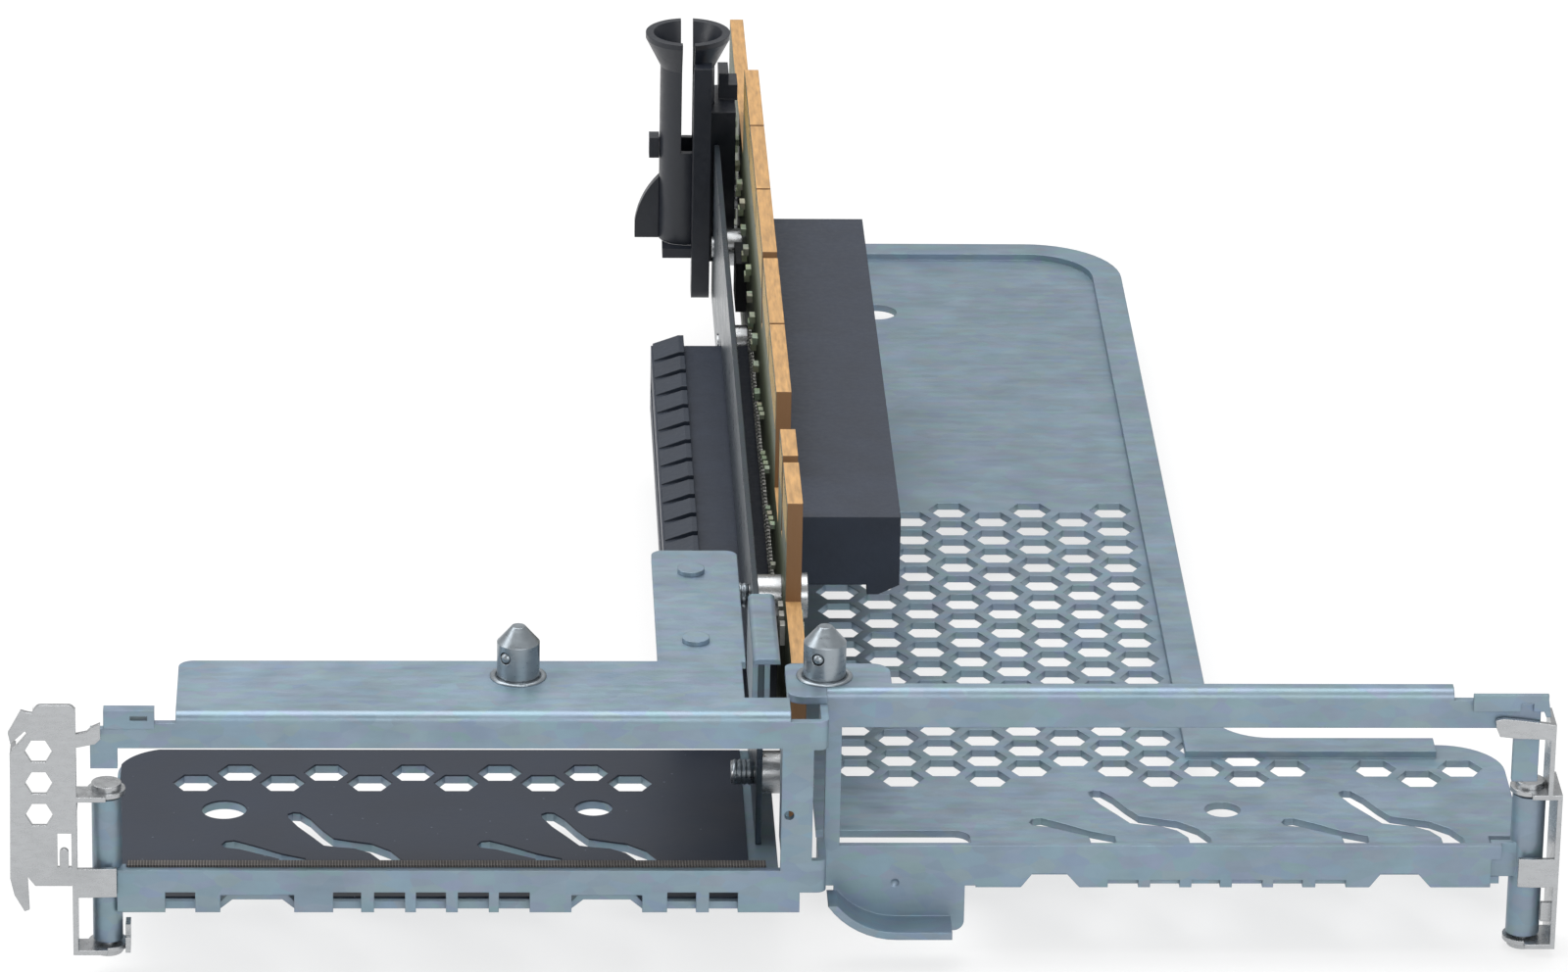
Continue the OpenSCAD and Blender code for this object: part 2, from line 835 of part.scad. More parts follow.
module board_standoffs() {
  color(steel)
    for (p = board_holes)
      translate([wall_x1, p[0], p[1]])
        rotate([0, 90, 0])
          difference() {
            cylinder(h = board_xl - wall_x1, r = 2.2);
            translate([0, 0, -1])
              cylinder(h = 5, r = 1.25);
          }
}

module board_screws() {
  color(stainless)
    for (i = [0:3])
      let (p = board_holes[i], out = i < 2 ? 2.4 : 0.2)
      translate([0, p[0], p[1]])
        rotate([0, 90, 0]) {
          translate([0, 0, wall_x0 - out])
            cylinder(h = board_x - wall_x0 + out, r = 1.2);
          translate([0, 0, board_x])
            difference() {
              cylinder(h = 1.1, r = 2.4);
              translate([0, 0, 0.5])
                cylinder(h = 1, r = 1.1, $fn = 6);
            }
        }
}

module locating_pin(ball_a) {
  difference() {
    union() {
      translate([0, 0, -sheet - 0.5])
        cylinder(h = 0.5, r = pin_r + 0.4);
      translate([0, 0, -sheet - e])
        cylinder(h = sheet + 2 * e, r = pin_r - 0.6);
      cylinder(h = pin_h - 1.7, r = pin_r);
      translate([0, 0, pin_h - 1.7 - e])
        cylinder(h = 1.7, r1 = pin_r, r2 = 0.7);
    }
    rotate([0, 0, ball_a])
      translate([0, 0, ball_z])
        rotate([90, 0, 0])
          cylinder(h = 4, r = 0.65);
  }
}

module locating_pin_left() {
  color(stainless)
    translate([pin_l[0], pin_l[1], frame_h])
      locating_pin(-40);
}

module locating_pin_right() {
  color(stainless)
    translate([pin_rr[0], pin_rr[1], frame_h])
      locating_pin(-22);
}

module detent_balls() {
  color(tin)
    for (q = [[pin_l, -40], [pin_rr, -22]])
      translate([q[0][0], q[0][1], frame_h + ball_z])
        rotate([0, 0, q[1]])
          translate([0, 0.4 - pin_r, 0])
            sphere(0.6);
}

module barrel(p, z, r) {
  translate([p[0], p[1], z[0]])
    difference() {
      cylinder(h = z[1] - z[0], r = r);
      translate([0, 0, -1])
        cylinder(h = z[1] - z[0] + 2, r = hinge_r + hinge_play);
    }
}

module hinge_barrel_left() {
  color(steel) {
    barrel(hinge_l, barrel_l_z, barrel_l_r);
    difference() {
      box([hinge_l[0] + 0.2, left_front + sheet, bo], [-88.3, left_front + 2 * sheet, low_rail_h]);
      translate([hinge_l[0], hinge_l[1], -20])
        cylinder(h = 60, r = barrel_l_r - 0.4);
    }
  }
}

module hinge_barrel_right() {
  color(steel) {
    barrel(hinge_rr, barrel_r_z, barrel_r_r);
    difference() {
      box([49.6, right_front + sheet, bo], [hinge_rr[0] - 0.2, right_front + 2 * sheet, low_rail_h]);
      translate([hinge_rr[0], hinge_rr[1], -20])
        cylinder(h = 60, r = barrel_r_r - 0.4);
    }
  }
}

module hinge_pin(p, z) {
  ear = ear_gap;
  translate([p[0], p[1], z[0] - ear - latch_t - 0.6]) {
    cylinder(h = z[1] - z[0] + 2 * (ear + latch_t) + 1.2, r = hinge_r);
    for (h = [0, z[1] - z[0] + 2 * (ear + latch_t) + 0.6])
      translate([0, 0, h])
        cylinder(h = 0.6, r = 1.5);
  }
}

module hinge_pin_left() {
  color(stainless)
    hinge_pin(hinge_l, barrel_l_z);
}

module hinge_pin_right() {
  color(stainless)
    hinge_pin(hinge_rr, barrel_r_z);
}

// Flat ear round a hinge pin, reaching to a side plate.
module ear_plate(p, z, x, r, y0, y1) {
  translate([0, 0, z])
    linear_extrude(latch_t)
      difference() {
        union() {
          translate(p)
            circle(r);
          rect([min(x, p[0]), y0], [max(x, p[0]), y1]);
        }
        translate(p)
          circle(hinge_r);
      }
}

module latch_left() {
  xs = -93.1;
  ear = ear_gap;
  yb = hinge_l[1] - barrel_l_r - latch_gap - latch_t - 0.05;
  color(stainless) {
    // Front panel with three vents, a tongue slot and the J-shaped grip.
    plate_xz(yb, latch_t)
      difference() {
        union() {
          polygon([[-97.2, frame_h + 1.3], [xs, frame_h + 1.3], [xs, 3.4], [-97.3, 3.4],
            [-98.05, 4.4], [-97.9, 0.8], [-98.4, 0.6], [-99.4, 2.4], [-99.8, 4.2],
            [-99.6, 18.15], [-97.7, 20.2]]);
          polygon([[-98.5, 22.5], [-97.85, 22.3], [-97.2, 22.2], [-97.2, 19.6], [-99.4, 18.15],
            [-99.8, 20.1]]);
        }
        corner_cut([-97.2, frame_h + 1.3], 0.7, -90);
        corner_cut([xs, frame_h + 1.3], 0.7, 180);
        polygon([[-100, 18.5], [-99.5, 18.1], [-97.9, 20], [-98.1, 20.3]]);
        for (p = [[-96.8, 18.1], [-96.8, 14.65], [-96.8, 11.2]])
          translate(p)
            circle(1.38, $fn = 6);
        difference() {
          rect([-95.05, 5.4], [-93.65, 9.15]);
          rect([-94.85, 5], [-93.95, 7]);
          translate([-94.4, 7])
            circle(0.45);
        }
      }
    // Turned-in edge at the left.
    box([-99.65, yb + e, 4.3], [-99.65 + latch_t, yb + 3.4, 17.8]);
    // Side plate that carries the ears.
    plate_yz(xs - latch_t, latch_t)
      union() {
        rect([yb, barrel_l_z[0] - ear - latch_t], [yb + 1.2, frame_h + 0.6]);
        rect([yb, barrel_l_z[0] - ear - latch_t], [hinge_l[1] + 0.3, 4]);
        rect([yb, 11], [hinge_l[1] + 0.3, barrel_l_z[1] + ear + latch_t]);
      }
    ear_plate(hinge_l, barrel_l_z[1] + ear, xs - latch_t, 1.9, yb, hinge_l[1] + 0.3);
    ear_plate(hinge_l, barrel_l_z[0] - ear - latch_t, xs - latch_t, 2, yb, hinge_l[1] + 0.3);
    // Upstand of the lower ear, to the right of the barrel.
    difference() {
      box([hinge_l[0] + barrel_l_r + 0.3, yb + 0.6, barrel_l_z[0] - ear - latch_t],
        [hinge_l[0] + barrel_l_r + 0.8, hinge_l[1] + 0.6, -1.5]);
      box([hinge_l[0], yb - 1, -2.6], [-80, yb + 1.4, 0]);
    }
    // Spring strap in front of the barrel, with one facet break.
    translate([0, 0, 2.1])
      linear_extrude(3.1)
        polygon([[xs - e, yb], [-91.9, yb], [-89.2, yb + 0.15], [-89.2, yb + 0.15 + latch_t],
          [-91.9, yb + latch_t], [xs - e, yb + latch_t]]);
    // Stop arm beside the rail's lug.
    plate_xz(yb, latch_t)
      polygon([[xs - e, frame_h - 3.3], [-91.2, frame_h - 2.9], [-90.65, frame_h - 2.4],
        [-90.65, frame_h - 0.7], [-91.5, frame_h - 1.1], [-92, frame_h - 1.6],
        [xs - e, frame_h - 1.85]]);
  }
}

module latch_right() {
  xs = 55.9;
  xu = 54.9;
  ear = ear_gap;
  yb = hinge_rr[1] - barrel_r_r - latch_gap - latch_t - 0.05;
  color(stainless) {
    // Side plate that carries the ears.
    plate_yz(xs, latch_t)
      rect([yb, barrel_r_z[0] - ear - latch_t], [yb + 6, barrel_r_z[1] + ear + latch_t]);
    // Narrow upper plate with the curved stop arm.
    plate_yz(xu, latch_t)
      rect([yb, barrel_r_z[1] + ear], [yb + 4.5, 18.4]);
    plate_xz(yb, latch_t)
      polygon([[49.2, 18.9], [49.3, 18.1], [49.7, 17.15], [51.5, 16.95], [xu + latch_t, 16.8],
        [xu + latch_t, 18.4], [54.2, 18.6], [52, 18.9], [50, 19.1]]);
    ear_plate(hinge_rr, barrel_r_z[1] + ear, xs + latch_t, 2, yb, hinge_rr[1] + 1.8);
    ear_plate(hinge_rr, barrel_r_z[0] - ear - latch_t, xs + latch_t, 2, yb, hinge_rr[1] + 2);
    // Spring strap in front of the barrel, with one facet break.
    translate([0, 0, 0.45])
      linear_extrude(3.1)
        polygon([[52.3, yb + 0.1], [53.7, yb - 0.05], [xs + e, yb], [xs + e, yb + latch_t],
          [53.7, yb + latch_t - 0.05], [52.3, yb + latch_t + 0.1]]);
    box([54.9, yb + 1, -3.8], [xs + e, yb + 1 + latch_t, -1.75]);
  }
}

module frame_rivets() {
  color(steel)
    for (p = [[-31, 8], [-31, 26]])
      translate([p[0], p[1], frame_h])
        cylinder(h = 0.5, r = 1.4);
}

left_frame();
insulator_film();
emi_gasket();
right_frame();
carrier_wall();
wall_clip();
riser_board();
edge_contacts();
slot_housing_right();
slot_contacts_right();
slot_housing_left();
slot_collar_left();
slot_contacts_left();
contact_tails();
chip_capacitors();
power_chips();
resistor_bars();
guide_funnel();
guide_wing();
guide_bracket();
guide_screws();
board_standoffs();
board_screws();
locating_pin_left();
locating_pin_right();
detent_balls();
hinge_barrel_left();
hinge_barrel_right();
hinge_pin_left();
hinge_pin_right();
latch_left();
latch_right();
frame_rivets();
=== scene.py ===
import math

import bpy
import bmesh
from mathutils import Matrix, Vector


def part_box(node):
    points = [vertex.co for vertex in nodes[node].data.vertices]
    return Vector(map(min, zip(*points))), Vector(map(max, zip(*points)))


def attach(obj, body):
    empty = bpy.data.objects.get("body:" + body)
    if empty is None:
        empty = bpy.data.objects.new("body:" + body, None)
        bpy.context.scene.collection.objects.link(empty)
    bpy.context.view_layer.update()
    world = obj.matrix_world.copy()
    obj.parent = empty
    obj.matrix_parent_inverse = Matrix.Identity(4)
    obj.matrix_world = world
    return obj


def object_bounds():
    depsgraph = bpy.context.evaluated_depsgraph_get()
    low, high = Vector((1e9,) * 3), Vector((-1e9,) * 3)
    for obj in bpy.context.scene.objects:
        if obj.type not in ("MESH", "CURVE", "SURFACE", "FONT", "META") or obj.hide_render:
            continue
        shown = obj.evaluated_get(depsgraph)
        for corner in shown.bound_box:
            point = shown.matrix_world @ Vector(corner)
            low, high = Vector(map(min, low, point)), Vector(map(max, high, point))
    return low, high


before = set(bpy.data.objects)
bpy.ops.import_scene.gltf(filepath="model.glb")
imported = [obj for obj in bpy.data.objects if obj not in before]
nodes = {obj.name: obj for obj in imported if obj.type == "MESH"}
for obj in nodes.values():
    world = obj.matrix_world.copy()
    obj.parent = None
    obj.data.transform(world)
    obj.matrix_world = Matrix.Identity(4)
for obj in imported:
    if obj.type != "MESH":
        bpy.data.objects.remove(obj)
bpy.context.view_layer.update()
MM = 0.001

# ---------------------------------------------------------------- camera

UNIT = 0.0052
FOCAL_PX, WIDTH_PX, SENSOR_MM = 8882.607, 1600, 36
SHIFT_X, SHIFT_Y, DISTANCE = 3.547641, -0.590467, 186.9063
ORIGIN = Vector((0, 0.0936, 0.0004))
YAW, TILT, ROLL = -0.0446074, 0.3895266, 0.0191951
side = Vector((math.cos(YAW), math.sin(YAW), 0))
ahead = Vector((-math.sin(YAW), math.cos(YAW), 0))
depth = ahead * math.cos(TILT) - Vector((0, 0, math.sin(TILT)))
up = ahead * math.sin(TILT) + Vector((0, 0, math.cos(TILT)))
right_r = side * math.cos(ROLL) + up * math.sin(ROLL)
up_r = -side * math.sin(ROLL) + up * math.cos(ROLL)
cam_data = bpy.data.cameras.new("camera")
cam = bpy.data.objects.new("camera", cam_data)
bpy.context.collection.objects.link(cam)
cam_data.sensor_width = SENSOR_MM
cam_data.lens = FOCAL_PX / WIDTH_PX * SENSOR_MM
cam_data.clip_start = 0.05
cam_data.clip_end = 20
rot = Matrix((right_r, up_r, -depth)).transposed().to_4x4()
place = ORIGIN - UNIT * (SHIFT_X * right_r + SHIFT_Y * up_r + DISTANCE * depth)
cam.matrix_world = Matrix.Translation(place) @ rot
bpy.context.scene.camera = cam

# ---------------------------------------------------------------- node helpers


class Mat:
    """A material under construction, with short calls for its nodes."""

    def __init__(self, name):
        self.m = bpy.data.materials.new(name)
        self.m.use_nodes = True
        self.t = self.m.node_tree
        self.p = self.t.nodes["Principled BSDF"]
        self.geo = self.new("ShaderNodeNewGeometry")
        self.pos = self.geo.outputs["Position"]
        self.nor = self.geo.outputs["Normal"]
        self.bev = None

    def new(self, kind, **props):
        n = self.t.nodes.new(kind)
        for k, v in props.items():
            setattr(n, k, v)
        return n

    def put(self, socket, value):
        if isinstance(value, bpy.types.NodeSocket):
            self.t.links.new(value, socket)
        elif value is not None:
            socket.default_value = value

    def math(self, op, a, b=None, c=None, clamp=False):
        n = self.new("ShaderNodeMath", operation=op, use_clamp=clamp)
        for s, v in zip(n.inputs, (a, b, c)):
            self.put(s, v)
        return n.outputs[0]

    def scale(self, x, y, z, v=None):
        n = self.new("ShaderNodeVectorMath", operation="MULTIPLY")
        self.put(n.inputs[0], v or self.pos)
        n.inputs[1].default_value = (x, y, z)
        return n.outputs[0]

    def split(self, v):
        n = self.new("ShaderNodeSeparateXYZ")
        self.put(n.inputs[0], v)
        return n.outputs

    def noise(self, scale, detail=3, rough=0.55, v=None, dim="3D", dist=0):
        n = self.new("ShaderNodeTexNoise", noise_dimensions=dim)
        self.put(n.inputs["Vector"], v or self.pos)
        n.inputs["Scale"].default_value = scale
        n.inputs["Detail"].default_value = detail
        n.inputs["Roughness"].default_value = rough
        n.inputs["Distortion"].default_value = dist
        return n.outputs["Fac"]

    def voronoi(self, scale, v=None, feature="F1", out="Color", rand=1):
        n = self.new("ShaderNodeTexVoronoi", feature=feature)
        self.put(n.inputs["Vector"], v or self.pos)
        n.inputs["Scale"].default_value = scale
        n.inputs["Randomness"].default_value = rand
        return n.outputs[out]

    def ramp(self, fac, stops):
        n = self.new("ShaderNodeValToRGB")
        self.put(n.inputs[0], fac)
        el = n.color_ramp.elements
        while len(el) < len(stops):
            el.new(0.5)
        for e, (p, c) in zip(el, stops):
            e.position = p
            e.color = (*c, 1) if len(c) == 3 else c
        return n.outputs[0]

    def span(self, v, a, b, c=0, d=1):
        n = self.new("ShaderNodeMapRange")
        self.put(n.inputs[0], v)
        for s, x in zip(n.inputs[1:5], (a, b, c, d)):
            s.default_value = x
        return n.outputs[0]

    def mix(self, fac, a, b, blend="MIX"):
        n = self.new("ShaderNodeMix", data_type="RGBA", blend_type=blend)
        self.put(n.inputs[0], fac)
        self.put(n.inputs[6], (*a, 1) if isinstance(a, tuple) else a)
        self.put(n.inputs[7], (*b, 1) if isinstance(b, tuple) else b)
        return n.outputs[2]

    def bevel(self, radius, samples=6):
        n = self.new("ShaderNodeBevel", samples=samples)
        n.inputs["Radius"].default_value = radius * MM
        self.bev = n.outputs[0]
        return self

    def bump(self, height, dist, strength=1):
        n = self.new("ShaderNodeBump")
        n.inputs["Strength"].default_value = strength
        n.inputs["Distance"].default_value = dist * MM
        self.put(n.inputs["Height"], height)
        if self.bev:
            self.put(n.inputs["Normal"], self.bev)
        self.put(self.p.inputs["Normal"], n.outputs[0])

    def set(self, **kw):
        for k, v in kw.items():
            key = {"color": "Base Color", "rough": "Roughness", "metal": "Metallic",
                   "spec": "Specular IOR Level"}[k]
            if isinstance(v, tuple):
                v = (*v, 1)
            self.put(self.p.inputs[key], v)
        return self


def srgb(r, g, b):
    """Linear colour of an 8-bit display colour."""
    def one(c):
        c /= 255
        return c / 12.92 if c <= 0.04045 else ((c + 0.055) / 1.055) ** 2.4
    return (one(r), one(g), one(b))


def lighter(c, k):
    return tuple(min(1.0, x * k) for x in c)


# ---------------------------------------------------------------- materials


def zinc(name="zinc_sheet", base=(124, 142, 155), turn=False, rough=(0.34, 0.5), metal=0.6):
    m = Mat(name).bevel(0.16)
    c = srgb(*base)
    cloud = m.noise(160, 4, 0.6)
    grain = m.noise(700, 3, 0.6, m.scale(0.22, 1.6, 1.2) if not turn else m.scale(1.6, 0.22, 1.2))
    fleck = m.voronoi(900, m.scale(0.5, 1, 1))
    col = m.ramp(m.span(cloud, 0.3, 0.7), [(0, lighter(c, 0.9)), (0.55, c), (1, lighter(c, 1.1))])
    col = m.mix(m.span(grain, 0.35, 0.75, 0, 0.5), col, lighter(c, 1.16))
    col = m.mix(0.06, col, fleck, "OVERLAY")
    wear = m.span(m.noise(60, 6, 0.75), 0.62, 0.8, 0, 0.6)
    col = m.mix(wear, col, lighter(c, 0.86))
    m.set(color=col, metal=metal, rough=m.span(m.math("ADD", grain, cloud), 0.7, 1.3, *rough))
    m.bump(m.math("ADD", m.math("MULTIPLY", grain, 0.6), m.noise(2600, 2)), 0.012)
    return m.m


def bright_steel(name="stainless_sheet", base=(176, 178, 180), r=(0.22, 0.36)):
    m = Mat(name).bevel(0.14)
    c = srgb(*base)
    line = m.noise(900, 3, 0.6, m.scale(1, 1, 3))
    spot = m.noise(140, 3)
    col = m.mix(m.span(line, 0.3, 0.7), lighter(c, 0.93), lighter(c, 1.05))
    col = m.mix(m.span(spot, 0.5, 0.75, 0, 0.4), col, lighter(c, 0.7))
    m.set(color=col, metal=0.9, rough=m.span(line, 0.3, 0.7, *r))
    m.bump(line, 0.01)
    return m.m


def film():
    m = Mat("film_black").bevel(0.08)
    c = srgb(24, 33, 48)
    mott = m.noise(90, 4, 0.6)
    dust = m.voronoi(420, feature="F1", out="Distance")
    speck = m.math("LESS_THAN", dust, 0.045)
    col = m.ramp(m.span(mott, 0.3, 0.7), [(0, lighter(c, 0.86)), (1, lighter(c, 1.16))])
    col = m.mix(m.math("MULTIPLY", speck, 0.5), col, srgb(110, 120, 134))
    m.set(color=col, rough=m.span(mott, 0.3, 0.7, 0.38, 0.5), spec=0.4)
    m.bump(m.noise(1500, 2), 0.008)
    return m.m


def gasket():
    m = Mat("woven_gasket")
    u = m.split(m.pos)
    wa = m.math("SINE", m.math("MULTIPLY", m.math("ADD", u[0], u[1]), 2 * math.pi / 0.0006))
    wb = m.math("SINE", m.math("MULTIPLY", m.math("SUBTRACT", u[0], u[1]), 2 * math.pi / 0.0006))
    wv = m.math("MULTIPLY", wa, wb)
    # The colour follows the weave height wv, darker in the troughs and lighter on the crests: painted shade and
    # painted highlight on the weave.
    col = m.ramp(m.span(wv, -0.7, 0.7), [(0, srgb(46, 44, 44)), (0.5, srgb(96, 92, 90)), (1, srgb(146, 140, 136))])
    col = m.mix(m.span(m.noise(300), 0.4, 0.7, 0, 0.4), col, srgb(70, 66, 64))
    m.set(color=col, metal=0.35, rough=m.span(wv, -1, 1, 0.62, 0.42))
    m.bump(wv, 0.09)
    return m.m


def board():
    m = Mat("fibreglass_board").bevel(0.1)
    n = m.split(m.nor)
    face = m.math("GREATER_THAN", m.math("ABSOLUTE", n[0]), 0.6)
    mask = srgb(78, 84, 66)
    edge = srgb(178, 138, 88)
    glass = m.noise(900, 3, 0.6, m.scale(3, 0.4, 0.4))
    ec = m.mix(m.span(glass, 0.3, 0.7), lighter(edge, 0.7), lighter(edge, 1.18))
    # Faces that look along Y, the end walls of the board's notches, are painted darker brown: painted shade on
    # those walls.
    wall = m.math("GREATER_THAN", m.math("ABSOLUTE", n[1]), 0.7)
    ec = m.mix(wall, ec, lighter(srgb(118, 84, 50), 1))
    trace = m.voronoi(260, m.scale(0, 1, 1), "DISTANCE_TO_EDGE", "Distance")
    mc = m.mix(m.span(trace, 0.02, 0.09), lighter(mask, 1.25), mask)
    mc = m.mix(m.span(m.noise(200), 0.4, 0.7, 0, 0.4), mc, lighter(mask, 0.8))
    m.set(color=m.mix(face, ec, mc), rough=m.span(glass, 0.3, 0.7, 0.45, 0.7))
    m.bump(glass, 0.02)
    return m.m


def gold():
    m = Mat("gold_contacts").bevel(0.05)
    c = srgb(206, 172, 106)
    v = m.noise(800, 3)
    m.set(color=m.mix(m.span(v, 0.3, 0.7), lighter(c, 0.8), lighter(c, 1.12)), metal=0.9,
          rough=m.span(v, 0.3, 0.7, 0.26, 0.42))
    m.bump(v, 0.006)
    return m.m


def tin(name="tinned_metal", base=(188, 186, 180)):
    m = Mat(name).bevel(0.05)
    c = srgb(*base)
    v = m.noise(700, 3)
    m.set(color=m.mix(m.span(v, 0.3, 0.7), lighter(c, 0.72), lighter(c, 1.15)), metal=0.85,
          rough=m.span(v, 0.3, 0.7, 0.25, 0.45))
    m.bump(v, 0.02)
    return m.m


def plastic(name, base, rough=(0.42, 0.56), grain=1300, radius=0.14):
    m = Mat(name).bevel(radius)
    c = srgb(*base)
    a = m.noise(220, 4, 0.6)
    b = m.noise(grain, 3, 0.6)
    col = m.ramp(m.span(a, 0.3, 0.7), [(0, lighter(c, 0.88)), (1, lighter(c, 1.14))])
    col = m.mix(m.span(b, 0.55, 0.8, 0, 0.25), col, lighter(c, 1.4))
    m.set(color=col, rough=m.span(b, 0.3, 0.7, *rough), spec=0.45)
    m.bump(b, 0.02)
    return m.m


def ceramic():
    m = Mat("ceramic_chip_painted_glint").bevel(0.06)
    v = m.noise(900, 3)
    cell = m.voronoi(500)
    # The pale greenish white base is painted highlight that stands in for the glints on the chip capacitors.
    a = srgb(176, 186, 160)
    col = m.mix(m.span(v, 0.35, 0.65), lighter(a, 0.75), lighter(a, 1.1))
    col = m.mix(0.1, col, cell, "OVERLAY")
    m.set(color=col, rough=m.span(v, 0.3, 0.7, 0.4, 0.6))
    m.bump(v, 0.02)
    return m.m


STEEL = zinc()
# The carrier wall is the same zinc sheet as the frames. Its darker base colour is painted shade; its lower
# roughness and higher metallic value make it glossier.
SHADED_WALL_ZINC = zinc("wall_sheet_painted_shade", (62, 72, 80), True, (0.24, 0.36), 0.8)
STAIN = bright_steel()
PIN = bright_steel("turned_steel", (150, 158, 164), (0.25, 0.4))
FILM = film()
GASK = gasket()
BOARD = board()
GOLD = gold()
TIN = tin(base=(214, 214, 208))
SLOT = plastic("slot_plastic", (32, 40, 54))
COLLAR = plastic("collar_plastic", (30, 38, 50))
GUIDE = plastic("guide_plastic", (24, 28, 36), (0.3, 0.44))
CHIP = plastic("chip_epoxy", (36, 38, 42), (0.5, 0.65), 2200, 0.08)
CERAM = ceramic()


def paint(mat, *names):
    for n in names:
        ob = nodes[n]
        ob.data.materials.clear()
        ob.data.materials.append(mat)


paint(SHADED_WALL_ZINC, "carrier_wall")
paint(STEEL, "left_frame", "right_frame", "wall_clip", "hinge_barrel_left", "hinge_barrel_right",
      "frame_rivets")
paint(STAIN, "latch_left", "latch_right", "hinge_pin_left", "hinge_pin_right", "board_standoffs", "board_screws",
      "guide_screws")
paint(PIN, "locating_pin_left", "locating_pin_right", "detent_balls")
paint(FILM, "insulator_film")
paint(GASK, "emi_gasket")
paint(BOARD, "riser_board")
paint(GOLD, "edge_contacts", "slot_contacts_right", "slot_contacts_left")
paint(TIN, "contact_tails", "resistor_bars")
paint(SLOT, "slot_housing_right", "slot_housing_left")
paint(COLLAR, "slot_collar_left")
paint(GUIDE, "guide_funnel", "guide_wing", "guide_bracket")
paint(CHIP, "power_chips")
paint(CERAM, "chip_capacitors")

# ---------------------------------------------------------------- fine pieces


def piece(name, bm, mat, body="cage", smooth=True):
    """A mesh piece from bm (metres) that rides on a body."""
    bmesh.ops.recalc_face_normals(bm, faces=bm.faces)
    me = bpy.data.meshes.new(name)
    bm.to_mesh(me)
    bm.free()
    for f in me.polygons:
        f.use_smooth = smooth
    me.materials.append(mat)
    ob = bpy.data.objects.new(name, me)
    bpy.context.collection.objects.link(ob)
    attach(ob, body)
    return ob


def lathe(bm, profile, at, axis, n=24):
    """Closed solid of revolution: profile is [(radius, height)], both ends on the axis."""
    z = Vector(axis).normalized()
    x = z.orthogonal().normalized()
    y = z.cross(x)
    rings = []
    for r, h in profile:
        c = Vector(at) + z * h
        if r < 1e-9:
            rings.append([bm.verts.new(c * MM)])
        else:
            rings.append([bm.verts.new((c + (x * math.cos(t) + y * math.sin(t)) * r) * MM)
                          for t in (2 * math.pi * i / n for i in range(n))])
    for a, b in zip(rings, rings[1:]):
        for i in range(n):
            q = [a[i % len(a)], a[(i + 1) % len(a)], b[(i + 1) % len(b)], b[i % len(b)]]
            q = [v for j, v in enumerate(q) if v not in q[:j]]
            if len(q) > 2:
                bm.faces.new(q)


def box_of(node):
    a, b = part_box(node)
    return Vector(a) / MM, Vector(b) / MM


# Threads of the two near board screws, left of the carrier wall.
wall = box_of("carrier_wall")
screw = box_of("board_screws")
HOLES = [(9.7, 6.5), (30, 17.5)]
THREAD = 0.5
bm = bmesh.new()
for y, z in HOLES:
    x1 = wall[0].x - 0.05
    x0 = screw[0].x - 0.02
    prof = [(0, 0), (0.95, 0), (1.1, 0.12)]
    h = 0.2
    while h + THREAD < x1 - x0:
        prof += [(1.21, h), (1.33, h + 0.2), (1.33, h + 0.26), (1.21, h + 0.46)]
        h += THREAD
    prof += [(1.22, x1 - x0), (0, x1 - x0)]
    lathe(bm, prof, (x0, y, z), (1, 0, 0), 28)
piece("screw_threads", bm, PIN)

# Solder beads round the contact tails.
tails = box_of("contact_tails")
bm = bmesh.new()
y = tails[0].y + 0.25
while y < tails[1].y:
    for z in (tails[0].z + 0.3, tails[1].z - 0.3):
        lathe(bm, [(0, 0.42), (0.16, 0.38), (0.27, 0.22), (0.36, 0.05), (0.36, -0.02), (0, -0.02)],
              (tails[1].x, y, z), (-1, 0, 0), 8)
    y += 1
piece("solder_beads", bm, TIN)

# Collars under the locating pins. The photograph shows none; they are an addition of this scene.
FRAME_TOP = 21.8
for side_name in ("left", "right"):
    a, b = box_of("locating_pin_" + side_name)
    c = (a + b) / 2
    r = (b.x - a.x) / 2
    bm = bmesh.new()
    lathe(bm, [(r - 0.3, 0.0), (r + 0.32, 0.0), (r + 0.3, 0.12), (r + 0.12, 0.22), (r - 0.02, 0.24),
               (r - 0.3, 0.24), (r - 0.3, 0.0)], (c.x, c.y, FRAME_TOP), (0, 0, 1), 40)
    piece("pin_collar_" + side_name, bm, PIN)

# ---------------------------------------------------------------- floor, world and lights

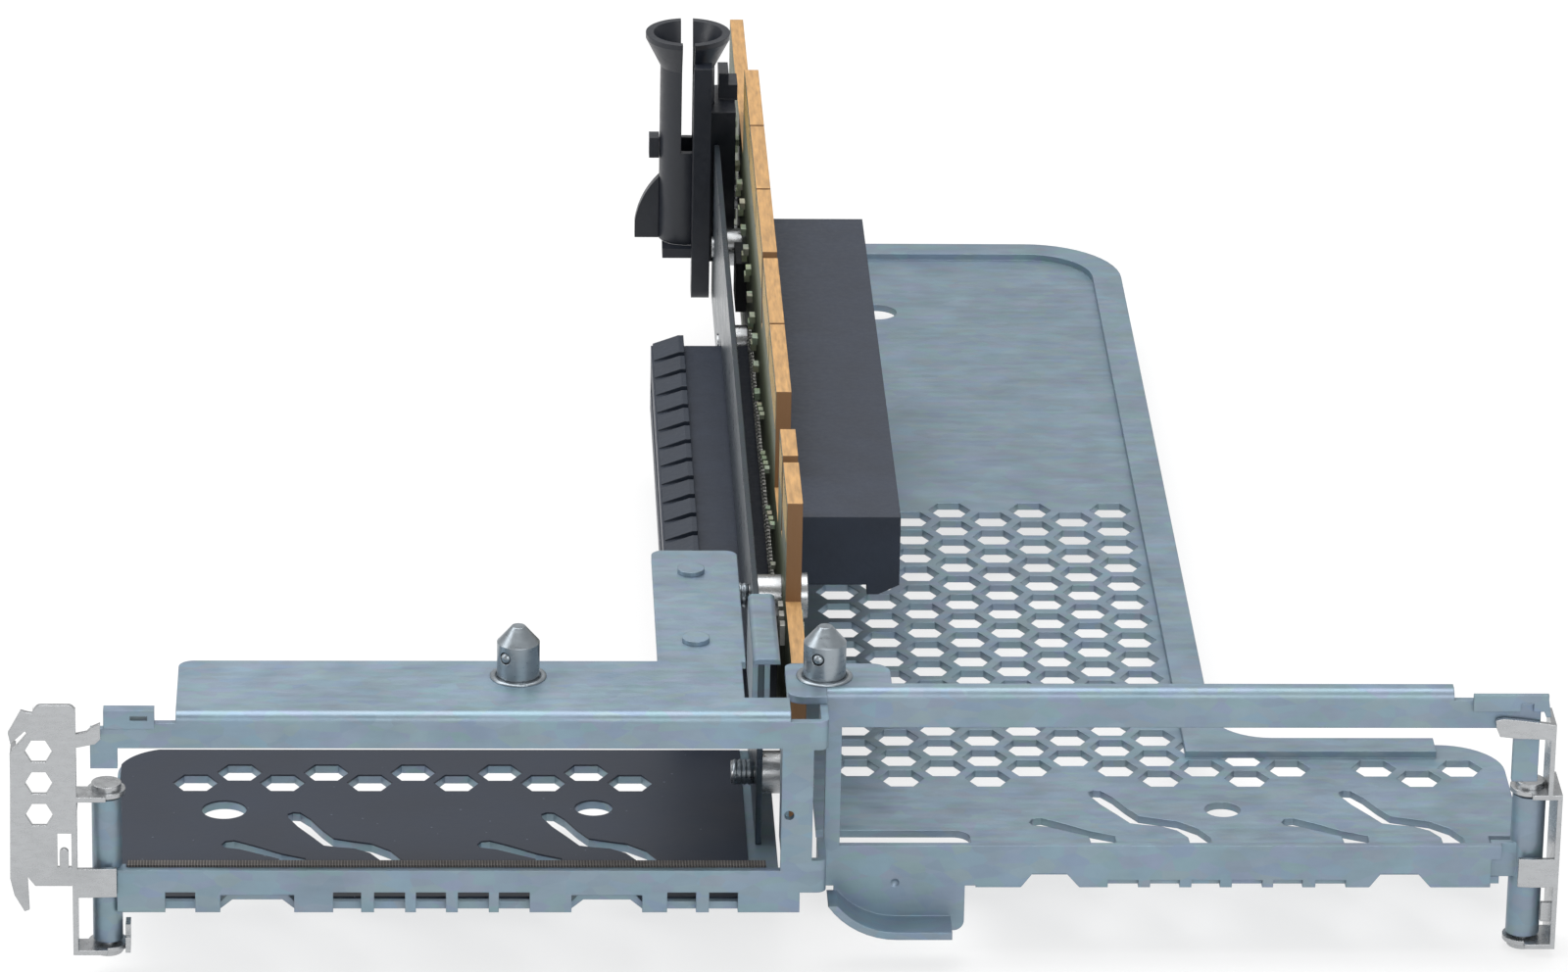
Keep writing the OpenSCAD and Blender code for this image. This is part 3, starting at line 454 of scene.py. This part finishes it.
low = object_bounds()[0].z
bpy.ops.mesh.primitive_plane_add(size=6, location=(0, 0.1, low - 0.0004))
floor = bpy.context.object
floor.name = "floor"
fm = Mat("floor_white")
soft = fm.noise(9, 2)
fm.set(color=fm.mix(fm.span(soft, 0.3, 0.7), (0.86, 0.86, 0.86), (0.9, 0.9, 0.9)), rough=0.7)
lp = fm.new("ShaderNodeLightPath")
glow = fm.new("ShaderNodeEmission")
glow.inputs["Strength"].default_value = 1
mixs = fm.new("ShaderNodeMixShader")
out = fm.t.nodes["Material Output"]
seen = fm.math("ADD", lp.outputs["Is Camera Ray"], lp.outputs["Is Glossy Ray"], clamp=True)
fm.put(mixs.inputs[0], fm.math("MULTIPLY", seen, 0.72))
fm.put(mixs.inputs[1], fm.p.outputs[0])
fm.put(mixs.inputs[2], glow.outputs[0])
fm.put(out.inputs["Surface"], mixs.outputs[0])
floor.data.materials.append(fm.m)

world = bpy.data.worlds.new("studio")
bpy.context.scene.world = world
world.use_nodes = True
wt = world.node_tree
bg = wt.nodes["Background"]
bg.inputs["Color"].default_value = (1, 1, 1, 1)
wl = wt.nodes.new("ShaderNodeLightPath")
wm = wt.nodes.new("ShaderNodeMapRange")
wt.links.new(wl.outputs["Is Camera Ray"], wm.inputs[0])
wm.inputs[3].default_value = 0.55
wm.inputs[4].default_value = 1
wt.links.new(wm.outputs[0], bg.inputs["Strength"])


def lamp(name, at, aim, size, watts, tint=(1, 1, 1)):
    d = bpy.data.lights.new(name, "AREA")
    d.shape = "RECTANGLE"
    d.size, d.size_y = size
    d.energy = watts
    d.color = tint
    ob = bpy.data.objects.new(name, d)
    bpy.context.collection.objects.link(ob)
    ob.location = at
    ob.rotation_euler = (Vector(aim) - Vector(at)).to_track_quat("-Z", "Y").to_euler()
    return ob


lamp("top_softbox", (-0.15, 0.25, 0.9), (0, 0.08, 0), (0.9, 0.9), 9)
lamp("front_fill", (0.25, -0.9, 0.45), (0, 0.05, 0), (0.8, 0.5), 4)
lamp("left_strip", (-0.9, 0.0, 0.5), (0, 0.08, 0), (0.4, 0.8), 3)

bpy.context.scene.view_settings.view_transform = "Standard"
